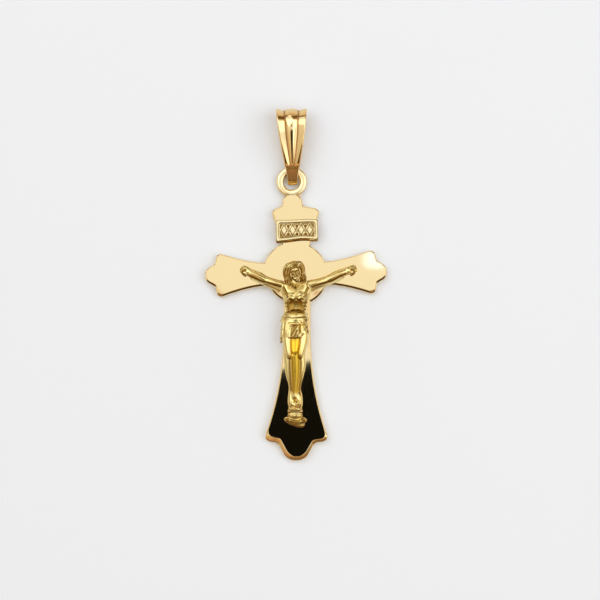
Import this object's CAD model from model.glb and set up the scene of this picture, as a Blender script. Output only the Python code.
"""Dresses the crucifix pendant: polished plate, ring, bail, plaque and cast figure.

All sizes below are in millimetres, measured from the crossing of the cross, with
+Y towards the bail and +Z out of the front, and `make_piece` turns them into metres.
"""

import math

import bpy
import numpy as np
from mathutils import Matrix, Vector


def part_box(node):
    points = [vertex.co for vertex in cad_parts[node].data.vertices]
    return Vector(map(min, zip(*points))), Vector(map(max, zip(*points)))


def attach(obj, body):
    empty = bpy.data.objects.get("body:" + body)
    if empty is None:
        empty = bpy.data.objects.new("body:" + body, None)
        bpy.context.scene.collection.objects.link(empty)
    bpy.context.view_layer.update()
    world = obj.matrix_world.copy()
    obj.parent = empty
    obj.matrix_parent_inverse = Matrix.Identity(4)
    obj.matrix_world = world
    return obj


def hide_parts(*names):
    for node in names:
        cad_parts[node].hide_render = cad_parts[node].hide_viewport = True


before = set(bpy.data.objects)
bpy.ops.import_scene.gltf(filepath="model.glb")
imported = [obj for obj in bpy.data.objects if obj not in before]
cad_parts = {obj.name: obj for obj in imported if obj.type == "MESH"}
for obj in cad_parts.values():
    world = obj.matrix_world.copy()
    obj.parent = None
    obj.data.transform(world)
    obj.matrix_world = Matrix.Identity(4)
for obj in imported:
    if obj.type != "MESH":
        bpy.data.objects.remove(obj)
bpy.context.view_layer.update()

MM = 0.001
# How far the plate reaches from the crossing, to the left and to the foot
LEFT_REACH, FOOT_REACH = 12.52, 26.287
PLATE_LOW = np.array(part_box("cross_plate")[0]) / MM
CROSSING = PLATE_LOW * (1, 1, 0) + (LEFT_REACH, FOOT_REACH, 0)
SEAT_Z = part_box("corpus")[0][2] / MM
PLATE_T = 1.3


# The camera, straight above, as the photo shows the pendant

IMAGE_WIDTH = 84.0
CAMERA_FOOT = (0.707, -3.79)
CAMERA_HEIGHT = 350.0
CAMERA_ROLL = -0.95
SENSOR = 36.0
CLIP_NEAR, CLIP_FAR = 0.01, 10.0  # in metres


def add_camera():
    data = bpy.data.cameras.new("camera")
    data.sensor_width = SENSOR
    data.lens = SENSOR * (CAMERA_HEIGHT - PLATE_T) / IMAGE_WIDTH
    data.clip_start = CLIP_NEAR
    data.clip_end = CLIP_FAR
    camera = bpy.data.objects.new("camera", data)
    camera.location = Vector(CROSSING + (*CAMERA_FOOT, CAMERA_HEIGHT)) * MM
    camera.rotation_euler = (0, 0, math.radians(CAMERA_ROLL))
    bpy.context.collection.objects.link(camera)
    bpy.context.scene.camera = camera


add_camera()


# Pieces

def make_piece(name, vertices, faces, material, node, marks=None, flat=()):
    """A smooth mesh piece that replaces a node; flat lists the faces that stay flat."""
    vertices = (np.asarray(vertices, float) + CROSSING) * MM
    mesh = bpy.data.meshes.new(name)
    mesh.from_pydata(vertices.tolist(), [], [list(map(int, f)) for f in faces])
    mesh.polygons.foreach_set("use_smooth", [True] * len(mesh.polygons))
    for face in flat:
        mesh.polygons[face].use_smooth = False
    for key, values in (marks or {}).items():
        mesh.attributes.new(key, "FLOAT", "POINT").data.foreach_set("value", np.asarray(values, np.float32))
    mesh.materials.append(material)
    piece = bpy.data.objects.new(name, mesh)
    bpy.context.collection.objects.link(piece)
    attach(piece, "root")
    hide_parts(node)


def ring_faces(count, n, closed=False):
    """Quads between neighbours among count rings of n points, the last and first too if closed."""
    return [(r * n + i, r * n + (i + 1) % n, (r + 1) % count * n + (i + 1) % n, (r + 1) % count * n + i)
            for r in range(count if closed else count - 1) for i in range(n)]


# Modelling clay: shapes as distances on a grid, joined and cut with soft blends

FAR, TINY = 9.0, 1e-9  # a distance past every reach, and a number just above nothing
WINDOW_STEPS = 5  # how many grid steps a shape's reach is widened by
LIMB_STEPS, TRUNK_STEPS = 7, 6
THINNEST = 0.01  # the least radius of a limb
TRUNK_END = 0.25  # how softly a trunk's side meets its ends


def soft_min(a, b, blend):
    if blend <= 0:
        return np.minimum(a, b)
    h = np.maximum(blend - np.abs(a - b), 0) / blend
    return np.minimum(a, b) - h * h * blend / 4


def soft_max(a, b, blend):
    return -soft_min(-a, -b, blend)


class Clay:
    """A box of grid points, each with its distance to the surface, negative inside."""

    def __init__(self, low, high, step):
        self.low = np.array(low, np.float32)
        self.step = step
        counts = [int(math.ceil((h - l) / step)) + 1 for l, h in zip(low, high)]
        self.axes = [self.low[i] + step * np.arange(counts[i], dtype=np.float32) for i in range(3)]
        self.d = np.full(counts, FAR, np.float32)

    def window(self, shape, blend):
        """The grid's part round a shape, as slices, and the shape's distances there."""
        field, low, high = shape
        margin = blend + WINDOW_STEPS * self.step
        cuts = []
        for a, b, start in zip(low, high, self.low):
            first, last = (int((at - start) / self.step) for at in (a - margin, b + margin))
            cuts.append(slice(max(0, first), max(0, last + 2)))
        return tuple(cuts), field(*np.ix_(*(axis[cut] for axis, cut in zip(self.axes, cuts))))

    def add(self, shape, blend=0.0):
        cuts, d = self.window(shape, blend)
        self.d[cuts] = soft_min(self.d[cuts], d, blend)

    def cut(self, shape, blend):
        cuts, d = self.window(shape, blend)
        self.d[cuts] = soft_max(self.d[cuts], -d, blend)

    def on_top(self, row):
        """A row of x, y, radius and depth as a limb's row, lying that deep in the top."""
        x, y, r, depth = row
        i, j = (int(round((v - low) / self.step)) for v, low in zip((x, y), self.low))
        top = self.axes[2][np.flatnonzero(self.d[i, j] < 0)[-1]]
        return x, y, top + r - depth, r

    def soften(self):
        """Rounds off what is as fine as the grid."""
        for axis in range(3):
            self.d = (2 * self.d + np.roll(self.d, 1, axis) + np.roll(self.d, -1, axis)) / 4

    def keep_above(self, height):
        """Cuts off what lies lower than a height."""
        self.d = np.maximum(self.d, height - self.axes[2])

    def add_limbs(self, table):
        """Adds limbs from a table of their rows, each with how softly it joins."""
        for rows, blend in table:
            self.add(limb(rows), blend)


def smooth_rows(rows, steps, closed=False):
    """More rows between those of a table, on a curve through all of them."""
    p = np.array(rows, float)
    before, after = (p[-1], p[:2]) if closed else (2 * p[0] - p[1], 2 * p[-1] - p[-2])
    p = np.vstack([before, p, after])
    s = (np.arange(steps) / steps)[:, None]
    out = [(2 * b + (c - a) * s + (2 * a - 5 * b + 4 * c - d) * s ** 2
            + (3 * b - a - 3 * c + d) * s ** 3) / 2 for a, b, c, d in zip(p, p[1:], p[2:], p[3:])]
    return np.vstack(out if closed else [*out, p[-2]])


def limb(rows, steps=LIMB_STEPS):
    """A round limb through rows of x, y, z and radius."""
    path = smooth_rows(rows, steps).astype(np.float32)
    centres, radii = path[:, :3], np.maximum(path[:, 3], THINNEST)

    def field(x, y, z):
        best = None
        for a, b, ra, rb in zip(centres, centres[1:], radii, radii[1:]):
            ab = b - a
            t = (x - a[0]) * ab[0] + (y - a[1]) * ab[1] + (z - a[2]) * ab[2]
            t = np.clip(t / max(float(ab @ ab), TINY), 0, 1)
            d = np.sqrt((x - a[0] - t * ab[0]) ** 2 + (y - a[1] - t * ab[1]) ** 2
                        + (z - a[2] - t * ab[2]) ** 2) - (ra + t * (rb - ra))
            best = d if best is None else np.minimum(best, d)
        return best

    reach = radii.max()
    return field, centres.min(0) - reach, centres.max(0) + reach


def ball(centre, radii, turn=0.0):
    """An oval ball; turn is in degrees, in the plate's plane."""
    c, s = math.cos(math.radians(turn)), math.sin(math.radians(turn))
    r = np.array(radii, float) * np.ones(3)

    def field(x, y, z):
        u, v, w = x - centre[0], y - centre[1], z - centre[2]
        u, v = u * c + v * s, v * c - u * s
        k = np.sqrt((u / r[0]) ** 2 + (v / r[1]) ** 2 + (w / r[2]) ** 2)
        g = np.sqrt((u / r[0] ** 2) ** 2 + (v / r[1] ** 2) ** 2 + (w / r[2] ** 2) ** 2)
        return k * (k - 1) / np.maximum(g, TINY)

    return field, np.array(centre) - r.max(), np.array(centre) + r.max()


def trunk(rows, soft=TRUNK_END):
    """An upright oval trunk through rows of x, y, z, half-width and half-depth."""
    path = smooth_rows(rows, TRUNK_STEPS)
    path = path[np.argsort(path[:, 1])]
    top, bottom = path[-1, 1], path[0, 1]

    def field(x, y, z):
        cx, cz, hw, hd = (np.interp(y, path[:, 1], path[:, i]).astype(np.float32) for i in (0, 2, 3, 4))
        k = np.sqrt(((x - cx) / hw) ** 2 + ((z - cz) / hd) ** 2)
        side = (k - 1) * np.minimum(hw, hd)
        return soft_max(side, np.maximum(y - top, bottom - y), soft)

    half = path[:, 3].max()
    return (field, (path[:, 0].min() - half, bottom, (path[:, 2] - path[:, 4]).min()),
            (path[:, 0].max() + half, top, (path[:, 2] + path[:, 4]).max()))


# A grid cell's corners, and its edges as pairs of them
CORNERS = list(np.ndindex(2, 2, 2))
EDGES = [(np.array(corner), corner + np.eye(3, dtype=int)[axis])
         for axis in range(3) for corner in CORNERS if corner[axis] == 0]


def sampled(values, places):
    """Values of a grid at places between its points."""
    base = np.clip(np.floor(places).astype(int), 0, np.array(values.shape) - 2)
    share = places - base
    return sum(np.abs(1 - np.array(corner) - share).prod(1) * values[tuple((base + corner).T)]
               for corner in CORNERS)


def hollow_share(d, reach, step):
    """How hollow the surface is at each grid point: the mean distance round it less its own."""
    mean = d.copy()
    for axis in range(3):
        total = mean.copy()
        for k in range(1, reach + 1):
            total += np.roll(mean, k, axis) + np.roll(mean, -k, axis)
        mean = total / (2 * reach + 1)
    return (d - mean) / step


def biggest_part(faces):
    """The faces of the biggest part of a mesh, joined by edges that just two faces share."""
    ends = np.sort(np.stack([faces, np.roll(faces, -1, 1)], 2), 2)
    names, edges, uses = np.unique(ends[..., 0] * (faces.max() + 1) + ends[..., 1],
                                   return_inverse=True, return_counts=True)
    edges = edges.reshape(faces.shape)
    shared = uses[edges] == 2
    label = np.arange(len(faces))
    while True:
        lowest = np.full(len(names), len(faces))
        np.minimum.at(lowest, edges, label[:, None])
        lower = np.minimum(label, np.where(shared, lowest[edges], len(faces)).min(1))
        lower = lower[lower]
        if (lower == label).all():
            break
        label = lower
    return faces[label == np.bincount(label).argmax()]


# How often the surface is relaxed and seated, and then only seated, how far a place moves
# at once, in grid steps, the least slope it is seated by, and how far round it hollows are felt
RELAX_TURNS, SEAT_TURNS, LONGEST_MOVE, LEAST_SLOPE, HOLLOW_REACH = 2, 2, 0.5, 0.1, 2


def crossed_cells(d):
    """The grid cells that the surface crosses, and the middle of its crossings in each."""
    count = sum((d < 0)[tuple(slice(c, n - 1 + c) for c, n in zip(corner, d.shape))].astype(np.int8)
                for corner in CORNERS)
    cells = np.argwhere((count > 0) & (count < len(CORNERS)))
    total, crossings = np.zeros((len(cells), 3)), np.zeros(len(cells))
    for a, b in EDGES:
        da, db = d[tuple((cells + a).T)], d[tuple((cells + b).T)]
        hit = (da < 0) != (db < 0)
        t = da[hit] / (da[hit] - db[hit])
        total[hit] += a + t[:, None] * (b - a)
        crossings[hit] += 1
    return cells, cells + total / crossings[:, None]


def crossing_quads(d, cells):
    """A quad between the four cells round each grid edge that the surface crosses."""
    inside, shape = d < 0, np.array(d.shape) - 1
    index = np.full(shape, -1, np.int64)
    index[tuple(cells.T)] = np.arange(len(cells))
    quads = []
    for axis, u, v in ((0, 1, 2), (1, 2, 0), (2, 0, 1)):
        first = np.take(inside, range(shape[axis]), axis)
        second = np.take(inside, range(1, shape[axis] + 1), axis)
        for start in (True, False):
            at = np.argwhere(first & ~second if start else ~first & second)
            at = at[((at[:, (u, v)] > 0) & (at[:, (u, v)] < shape[[u, v]])).all(1)]
            step_u, step_v = np.eye(3, dtype=int)[[u, v]]
            ring = [at - step_u - step_v, at - step_v, at, at - step_u]
            quad = np.stack([index[tuple(r.T)] for r in ring], 1)
            quads.append(quad if start else quad[:, ::-1])
    return np.vstack(quads)


def seated(clay, places, quads):
    """The surface's places relaxed towards their neighbours' and put back on the surface."""
    grads = np.gradient(clay.d)
    pairs = np.vstack([quads[:, (i, (i + 1) % 4)] for i in range(4)])
    degree = np.maximum(np.bincount(pairs[:, 0], minlength=len(places)), 1)
    for turn in range(RELAX_TURNS + SEAT_TURNS):
        if turn < RELAX_TURNS:
            mean = np.stack([np.bincount(pairs[:, 0], places[pairs[:, 1], i], len(places))
                             for i in range(3)], 1) / degree[:, None]
            places = (places + mean) / 2
        g = np.stack([sampled(grad, places) for grad in grads], 1)
        slope = np.maximum((g ** 2).sum(1), LEAST_SLOPE * clay.step ** 2)
        move = -sampled(clay.d, places)[:, None] * g / slope[:, None]
        places = places + np.clip(move, -LONGEST_MOVE, LONGEST_MOVE)
    return places


def skin(clay):
    """The clay's surface as vertices and quads, with how hollow each vertex lies."""
    cells, places = crossed_cells(clay.d)
    used, quads = np.unique(biggest_part(crossing_quads(clay.d, cells)), return_inverse=True)
    quads = quads.reshape(-1, 4)
    places = seated(clay, places[used], quads)
    hollow = sampled(hollow_share(clay.d, HOLLOW_REACH, clay.step), places)
    return clay.low + clay.step * places, quads, hollow


# Materials: every one is a metal, with fine wear in its colour, roughness and bump

DEEP_YELLOW = (0.72, 0.45, 0.03)
SPOT_SHADE, SPOT_DETAIL, GRAIN_DETAIL = 0.96, 3.0, 2.0


def mixed(tree, factor, a, b, kind="MIX"):
    """A mix of two colours, each a value or another node's output."""
    node = tree.nodes.new("ShaderNodeMix")
    node.data_type = "RGBA"
    node.blend_type = kind
    tree.links.new(factor, node.inputs["Factor"])
    for name, colour in (("A", a), ("B", b)):
        if isinstance(colour, tuple):
            node.inputs[name].default_value = (*colour, 1)
        else:
            tree.links.new(colour, node.inputs[name])
    return node.outputs["Result"]


def noise(tree, place, scale, detail):
    node = tree.nodes.new("ShaderNodeTexNoise")
    node.inputs["Scale"].default_value = scale
    node.inputs["Detail"].default_value = detail
    tree.links.new(place, node.inputs["Vector"])
    return node.outputs["Fac"]


def ranged(tree, value, low, high, to_low=0.0, to_high=1.0, kind="LINEAR"):
    """A value taken from the range low to high into another one."""
    node = tree.nodes.new("ShaderNodeMapRange")
    node.interpolation_type = kind
    for name, number in (("From Min", low), ("From Max", high), ("To Min", to_low), ("To Max", to_high)):
        node.inputs[name].default_value = number
    tree.links.new(value, node.inputs["Value"])
    return node.outputs["Result"]


def mark(tree, name):
    """The values that a piece carries under this name, or 0 where it has none."""
    node = tree.nodes.new("ShaderNodeAttribute")
    node.attribute_name = name
    return node.outputs["Fac"]


def shader(name, colour, roughness, dark, tint_scale, bump_scale, bump_height, hollows=(0.0, -1.0)):
    """A gold metal with a patina in its hollows."""
    material = bpy.data.materials.new(name)
    material.use_nodes = True
    tree = material.node_tree
    gold = tree.nodes["Principled BSDF"]
    gold.inputs["Metallic"].default_value = 1.0

    place = tree.nodes.new("ShaderNodeTexCoord").outputs["Object"]
    spots = noise(tree, place, tint_scale, SPOT_DETAIL)
    tint = mixed(tree, spots, tuple(SPOT_SHADE * c for c in colour), colour)
    deep = mixed(tree, mark(tree, "warm"), tint, DEEP_YELLOW)
    patina = mixed(tree, ranged(tree, mark(tree, "hollow"), *hollows), deep, dark)
    tree.links.new(patina, gold.inputs["Base Color"])
    tree.links.new(ranged(tree, spots, 0, 1, *roughness), gold.inputs["Roughness"])

    bump = tree.nodes.new("ShaderNodeBump")
    bump.inputs["Distance"].default_value = bump_height * MM
    tree.links.new(noise(tree, place, bump_scale, GRAIN_DETAIL), bump.inputs["Height"])
    tree.links.new(bump.outputs["Normal"], gold.inputs["Normal"])
    return material


# Each gold: its colour, the range of its roughness, the colour of its hollows, how fine its
# tint and its bump are, how high the bump is, and how hollow is not dark and fully dark
CAST_HOLLOWS = (-0.02, -0.34)
POLISHED = shader("polished_gold", (0.93, 0.74, 0.4), (0.012, 0.028), (0.5, 0.3, 0.1), 120, 160, 0.002)
RING_GOLD = shader("ring_gold", (0.93, 0.74, 0.4), (0.06, 0.12), (0.5, 0.3, 0.1), 200, 500, 0.002)
CAST = shader("cast_gold", (0.9, 0.73, 0.31), (0.2, 0.28), (0.3, 0.17, 0.03), 900, 1800, 0.005, CAST_HOLLOWS)
PLAQUE_GOLD = shader("plaque_gold", (0.95, 0.79, 0.44), (0.18, 0.28), (0.3, 0.18, 0.04), 900, 1800, 0.004,
                     CAST_HOLLOWS)
SHEET = shader("bail_gold", (0.9, 0.66, 0.32), (0.07, 0.14), (0.4, 0.2, 0.06), 250, 700, 0.004)


# The plate: an outline from four arms and the disc, drawn in ring by ring

# The disc's middle, and its radius in each corner between two arms, from the north-east
PLATE_AT = (0.2, -0.12)
DISC_R = (4.38, 4.64, 4.12, 4.5)
# Columns of the arm tables. Distances run along the arm from the disc's middle,
# half-widths and shifts across it, and a cut is where a corner's bend begins and ends
(DIRECTION, SHIFT, ROOT_HALF, FLARE_START, FLARE_POWER, CORNER_AT, CORNER_HALF, CORNER_CUT,
 NOTCH_AT, NOTCH_HALF, NOTCH_CUT, TIP_AT, SHOULDER_HALF, SHOULDER_CUT, LOBE_SHIFT) = range(15)
SIDE_ARM = (0.3, 0, 1.62, 4.1, 1.6, 11.02, 3.26, 0.95, 11.28, 1.63, 0.42, 12.72, 0.82, 0.7, 0)
TOP_ARM = (90, -0.08, 1.94, 4.0, 1.15, 8.96, 3.48, 0.85, 9.5, 1.42, 0.35, 11.2, 1.22, 1.15, 0.34)
FOOT_ARM = (268.7, 0.2, 1.88, 7, 2.2, 23.46, 4.66, 1.25, 23.66, 2.62, 0.5, 26.17, 1.2, 1.1, 0.18)
ARMS = (SIDE_ARM, TOP_ARM, (180.3, *SIDE_ARM[1:]), FOOT_ARM)
FLANK_STEPS, CORNER_STEPS, NOTCH_STEPS, SHOULDER_STEPS, DISC_STEPS = 40, 14, 10, 24, 30
# How much the cuts of corner, notch and shoulder change for each millimetre drawn in
CUT_CHANGE = (-0.65, 0.2, -0.3)
# The polished edge: its width and depth along the arms, and how much more at the foot,
# where it widens from one place along Y to another and narrows from left to right
EDGE_W, EDGE_D, EDGE_POWER = 0.27, 0.24, 1.05
EDGE_SHARES = (*np.linspace(0.06, 1, 6), 1.03)
FOOT_EDGE_W, FOOT_EDGE_D = 0.34, 0.06
WIDE_FROM, WIDE_TO = -21.8, -23.2
WIDE_LEFT, WIDE_RIGHT = (-3.0, 1.0), (4.0, 0.25)
# The edge is narrower where it faces north: how far it faces so, and its share of the width
EDGE_NORTH, EDGE_SHARE = (-0.9, -0.4, 0.3), (1.35, 1.0, 0.55)
# The back's chamfer, the narrow flat band in from it, and the side's gap under the edge
BACK_CHAMFER, BACK_BAND, SIDE_GAP = 0.12, 0.03, 0.04


def flank_half(arm, at, inset):
    reach = arm[CORNER_AT] - arm[FLARE_START]
    share = np.maximum(0, at - arm[FLARE_START]) / reach
    rise = arm[CORNER_HALF] - arm[ROOT_HALF]
    slope = rise * arm[FLARE_POWER] * share ** (arm[FLARE_POWER] - 1) / reach
    return arm[ROOT_HALF] + rise * share ** arm[FLARE_POWER] - inset * np.sqrt(1 + slope ** 2)


def unit(v):
    return v / np.linalg.norm(v)


def drawn_corner(before, at, after, inset):
    """A corner drawn in from both of its edges."""
    a, b = unit(at - before), unit(after - at)
    across_a, across_b = np.array([a[1], -a[0]]), np.array([b[1], -b[0]])
    return at + inset * (across_a + across_b) / (1 + across_a @ across_b)


def bend(start, at, end, steps):
    s = np.linspace(0, 1, steps)[:, None]
    return start * (1 - s) ** 2 + at * 2 * s * (1 - s) + end * s ** 2


def arm_side(arm, side, disc_r, inset):
    """One side of an arm, from the disc to the middle of its lobe."""
    flank_end_at = arm[CORNER_AT] - arm[CORNER_CUT]
    flank_end = np.array([flank_end_at, flank_half(arm, flank_end_at, 0)])
    corner, notch = np.array(arm[CORNER_AT:CORNER_HALF + 1]), np.array(arm[NOTCH_AT:NOTCH_HALF + 1])
    shoulder, tip = np.array(arm[TIP_AT:SHOULDER_HALF + 1]), np.array([arm[TIP_AT], 0.0])
    c = drawn_corner(flank_end, corner, notch, inset)
    n = drawn_corner(corner, notch, shoulder, inset)
    s = drawn_corner(notch, shoulder, tip, inset)
    corner_cut, notch_cut, shoulder_cut = (
        arm[cut] + change * inset for cut, change in zip((CORNER_CUT, NOTCH_CUT, SHOULDER_CUT), CUT_CHANGE))
    last = c[0] - corner_cut
    root = math.sqrt((disc_r - inset) ** 2 - (arm[ROOT_HALF] - inset + side * arm[SHIFT]) ** 2)
    at = root + (last - root) * np.arange(FLANK_STEPS) / FLANK_STEPS
    flank = np.stack([at, flank_half(arm, at, inset)], 1)
    start = np.array([last, flank_half(arm, last, inset)])
    edge = np.vstack([flank, bend(start, c, c + corner_cut * unit(n - c), CORNER_STEPS)])
    lobe = np.vstack([bend(n + notch_cut * unit(c - n), n, n + notch_cut * unit(s - n), NOTCH_STEPS),
                      bend(s + shoulder_cut * unit(n - s), s, tip - (inset, 0), SHOULDER_STEPS)])
    return np.vstack([edge * (1, side) + (0, arm[SHIFT]), lobe * (1, side) + (0, arm[LOBE_SHIFT])])


def plate_outline(inset):
    arms = []
    for k, arm in enumerate(ARMS):
        points = np.vstack([arm_side(arm, -1, DISC_R[k - 1], inset),
                            arm_side(arm, 1, DISC_R[k], inset)[-2::-1]])
        a = math.radians(arm[DIRECTION])
        arms.append(points @ np.array([[math.cos(a), math.sin(a)], [-math.sin(a), math.cos(a)]]))
    loop = []
    for k, points in enumerate(arms):
        loop.append(points)
        start, end = (math.atan2(y, x) for x, y in (points[-1], arms[(k + 1) % 4][0]))
        b = start + ((end - start) % (2 * math.pi)) * np.arange(1, DISC_STEPS) / DISC_STEPS
        loop.append((DISC_R[k] - inset) * np.stack([np.cos(b), np.sin(b)], 1))
    return np.vstack(loop) + PLATE_AT


def add_plate():
    outer = plate_outline(0)
    wide = np.interp(outer[:, 1], (WIDE_TO, WIDE_FROM), (1, 0))
    wide *= np.interp(outer[:, 0], (WIDE_LEFT[0], WIDE_RIGHT[0]), (WIDE_LEFT[1], WIDE_RIGHT[1]))
    along = np.roll(outer, -1, 0) - np.roll(outer, 1, 0)
    north = -along[:, 0] / np.linalg.norm(along, axis=1)
    narrow = np.interp(north, EDGE_NORTH, EDGE_SHARE)
    width, depth = narrow * EDGE_W + wide * FOOT_EDGE_W, narrow * EDGE_D + wide * FOOT_EDGE_D
    broad = EDGE_W + FOOT_EDGE_W

    def drawn_in(share):
        """The outline drawn in by a share of the edge's width at each point."""
        near, far = plate_outline(EDGE_W * share), plate_outline(broad * share)
        return near + ((width - EDGE_W) / FOOT_EDGE_W)[:, None] * (far - near)

    loops = [np.column_stack([plate_outline(inset), np.full(len(outer), height)])
             for inset, height in ((BACK_CHAMFER + BACK_BAND, 0), (BACK_CHAMFER, 0), (0, BACK_CHAMFER))]
    loops.append(np.column_stack([outer, PLATE_T - depth - SIDE_GAP]))
    for share in EDGE_SHARES:
        height = PLATE_T - depth * max(0, 1 - share) ** EDGE_POWER
        loops.append(np.column_stack([drawn_in(share), height]))
    n = len(outer)
    faces = ring_faces(len(loops), n)
    faces.append(tuple(range(n - 1, -1, -1)))
    faces.append(tuple(range((len(loops) - 1) * n, len(loops) * n)))
    make_piece("polished_plate", np.vstack(loops), faces, POLISHED, "cross_plate",
               flat=(len(faces) - 2, len(faces) - 1))


add_plate()


# The ring, soldered flush with the plate's front

RING_AT = (-0.19, 12.8, 0.845)
RING_R, WIRE_HALF, WIRE_R, WIRE_POWER = 1.65, 0.5, 0.46, 3.2
SOLDER_AT, SOLDER_R, SOLDER_BLEND = (0.0, 10.8, 0.84), (1.0, 0.9, 0.44), 0.06
RING_BOX, RING_STEP = ((-2.5, 9.8, 0.2), (2.1, 15.1, 1.5)), 0.04


def add_ring():
    clay = Clay(*RING_BOX, RING_STEP)

    def torus(x, y, z):
        away = np.sqrt((x - RING_AT[0]) ** 2 + (y - RING_AT[1]) ** 2)
        around = np.abs(away - RING_R) * WIRE_R / WIRE_HALF
        return (around ** WIRE_POWER + np.abs(z - RING_AT[2]) ** WIRE_POWER) ** (1 / WIRE_POWER) - WIRE_R

    reach = RING_R + WIRE_HALF
    clay.add((torus, np.array(RING_AT) - reach, np.array(RING_AT) + reach))
    clay.add(ball(SOLDER_AT, SOLDER_R), SOLDER_BLEND)
    vertices, faces, _ = skin(clay)
    make_piece("soldered_ring", vertices, faces, RING_GOLD, "cross_plate")


add_ring()


# The bail: fluted sheet swept round a loop, with its flutes fading into a plain tongue

BAIL_X, BAIL_T, CREASE = -0.06, 0.36, 0.5
BAIL_Y, BAIL_Z, BAIL_HALF, BAIL_FLUTE, BAIL_ZONE = range(5)
# Place along Y, height, half-width, flute depth, and the fluted share of the half-width
BAIL_ROWS = (
    (12.5, 0.7, 0.66, 0, 0.2), (12.86, 1.2, 0.7, 0, 0.2), (13.7, 1.86, 0.8, 0, 0.2),
    (14.6, 2.44, 0.97, 0.02, 0.36), (15.4, 2.86, 1.15, 0.14, 0.72), (18.4, 3.6, 1.68, 0.26, 0.96),
    (20.7, 3.98, 1.98, 0.3, 1.0), (21.95, 3.6, 2.13, 0.3, 1.0), (22.49, 2.6, 2.18, 0.28, 1.0),
    (22.05, 1.2, 2.08, 0.26, 1.0), (21.0, 0.48, 1.9, 0.22, 1.0), (18.4, 0.37, 1.55, 0.15, 0.9),
    (16.2, 0.26, 1.2, 0.05, 0.7), (14.5, 0.18, 0.9, 0, 0.4), (13.2, 0.28, 0.72, 0, 0.2),
)
BAIL_STEPS, BAIL_COLUMNS, SHEET_ROUND = 12, 81, 6
# The least fluted share, how round the middle rib is, how wide a crease is in half-widths,
# and the flute's depth from which a crease is fully dark
LEAST_ZONE, RIB_ROUND, CREASE_W, CREASED = 0.2, 0.7, 0.07, 0.2


def add_bail():
    rows = smooth_rows(BAIL_ROWS, BAIL_STEPS, closed=True)
    along = np.roll(rows, -1, 0)[:, :2] - np.roll(rows, 1, 0)[:, :2]
    outward = np.stack([-along[:, 1], along[:, 0]], 1) / np.linalg.norm(along, axis=1)[:, None]
    across = np.linspace(-1, 1, BAIL_COLUMNS)
    half_t = BAIL_T / 2
    turn = np.linspace(math.pi / 2, -math.pi / 2, SHEET_ROUND + 1)[1:-1]
    vertices, creases = [], []
    for row, out in zip(rows, outward):
        u = np.abs(across) / max(row[BAIL_ZONE], LEAST_ZONE)
        v = np.minimum(u / CREASE, 1)
        rib = RIB_ROUND * np.sqrt(1 - v ** 2) + (1 - RIB_ROUND) * np.cos(v * math.pi / 2)
        wing = np.clip((u - CREASE) / (1 - CREASE), 0, 1)
        lift = row[BAIL_FLUTE] * np.where(u <= CREASE, rib, np.where(u <= 1, wing, 1))
        inner_half = row[BAIL_HALF] - half_t
        crease = -np.exp(-((u - CREASE) / CREASE_W) ** 2) * min(1, row[BAIL_FLUTE] / CREASED)
        creases += [*crease, *[0] * len(turn), *[0] * len(across), *[0] * len(turn)]
        top = [(x * inner_half, half_t + h) for x, h in zip(across, lift)]
        side = [(inner_half + half_t * math.cos(t), half_t * math.sin(t) + lift[-1]) for t in turn]
        under = [(x * inner_half, h - half_t) for x, h in zip(across[::-1], lift[::-1])]
        other = [(-x, h) for x, h in side[::-1]]
        for x, h in top + side + under + other:
            vertices.append((BAIL_X + x, row[BAIL_Y] + h * out[0], row[BAIL_Z] + h * out[1]))
    faces = ring_faces(len(rows), len(vertices) // len(rows), closed=True)
    make_piece("fluted_bail", vertices, faces, SHEET, "bail", {"hollow": creases})


add_bail()


# The plaque: a sunk field in a raised rim, with lozenges and pellets

PLAQUE_AT = (0.44, 6.0)
PLAQUE_HALF_W, PLAQUE_HALF_H, PLAQUE_T = 2.94, 1.46, 0.62
RIM_W, FIELD_DEPTH, PLAQUE_ROUND = 0.42, 0.3, 0.05
PLAQUE_CORNER, FIELD_EDGE = 0.4, 0.06
PAST = 1  # how far a slab runs on past the faces that it is cut to
PLAQUE_BOX, PLAQUE_STEP = ((-3.1, -1.9, -0.08), (3.1, 1.6, 0.8)), 0.04
# The underside slopes out below the front's edge
UNDER_IN, UNDER_OUT = 0.14, 0.34
PLAQUE_TOP, PLAQUE_FLOOR = SEAT_Z + PLAQUE_T, SEAT_Z + PLAQUE_T - FIELD_DEPTH
# The low edge waves and curls down at its left end, and the high edge waves less
WAVE, WAVE_SHIFT, CURL, CURL_FROM, HIGH_WAVE = 0.12, 0.2, 0.22, 0.62, 0.04
LOZENGES, LOZENGE_PITCH, LOZENGE_HALF = 4, 1.2, (0.5, 0.86)
LOZENGE_SIDE, LOZENGE_LEAN, LOZENGE_TOP, LOZENGE_EDGE = 0.44, 0.2, 0.02, 0.06
PELLET_R, PELLET_Y, PELLET_RISE, PELLET_BLEND = (0.2, 0.2, 0.2), 0.54, 0.02, 0.05
# The scroll under the curl: its rows from the left end, over the low edge and the seat
SCROLL = ((-2.76, 0.14, 0.3, 0.24), (-2.06, 0.16, 0.28, 0.18))
SCROLL_U, SCROLL_BLEND = -0.9, 0.12
# How dark the sunk field is, and how deep it begins
FIELD_DARK, DARK_FROM = 0.52, 0.08


def plaque_low(u):
    curl = np.maximum(0, -u - CURL_FROM) / (1 - CURL_FROM)
    return -PLAQUE_HALF_H + WAVE * np.sin(math.pi * (u + WAVE_SHIFT)) - CURL * curl ** 2


def plaque_high(u):
    return PLAQUE_HALF_H + HIGH_WAVE * np.sin(math.pi * u)


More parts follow.
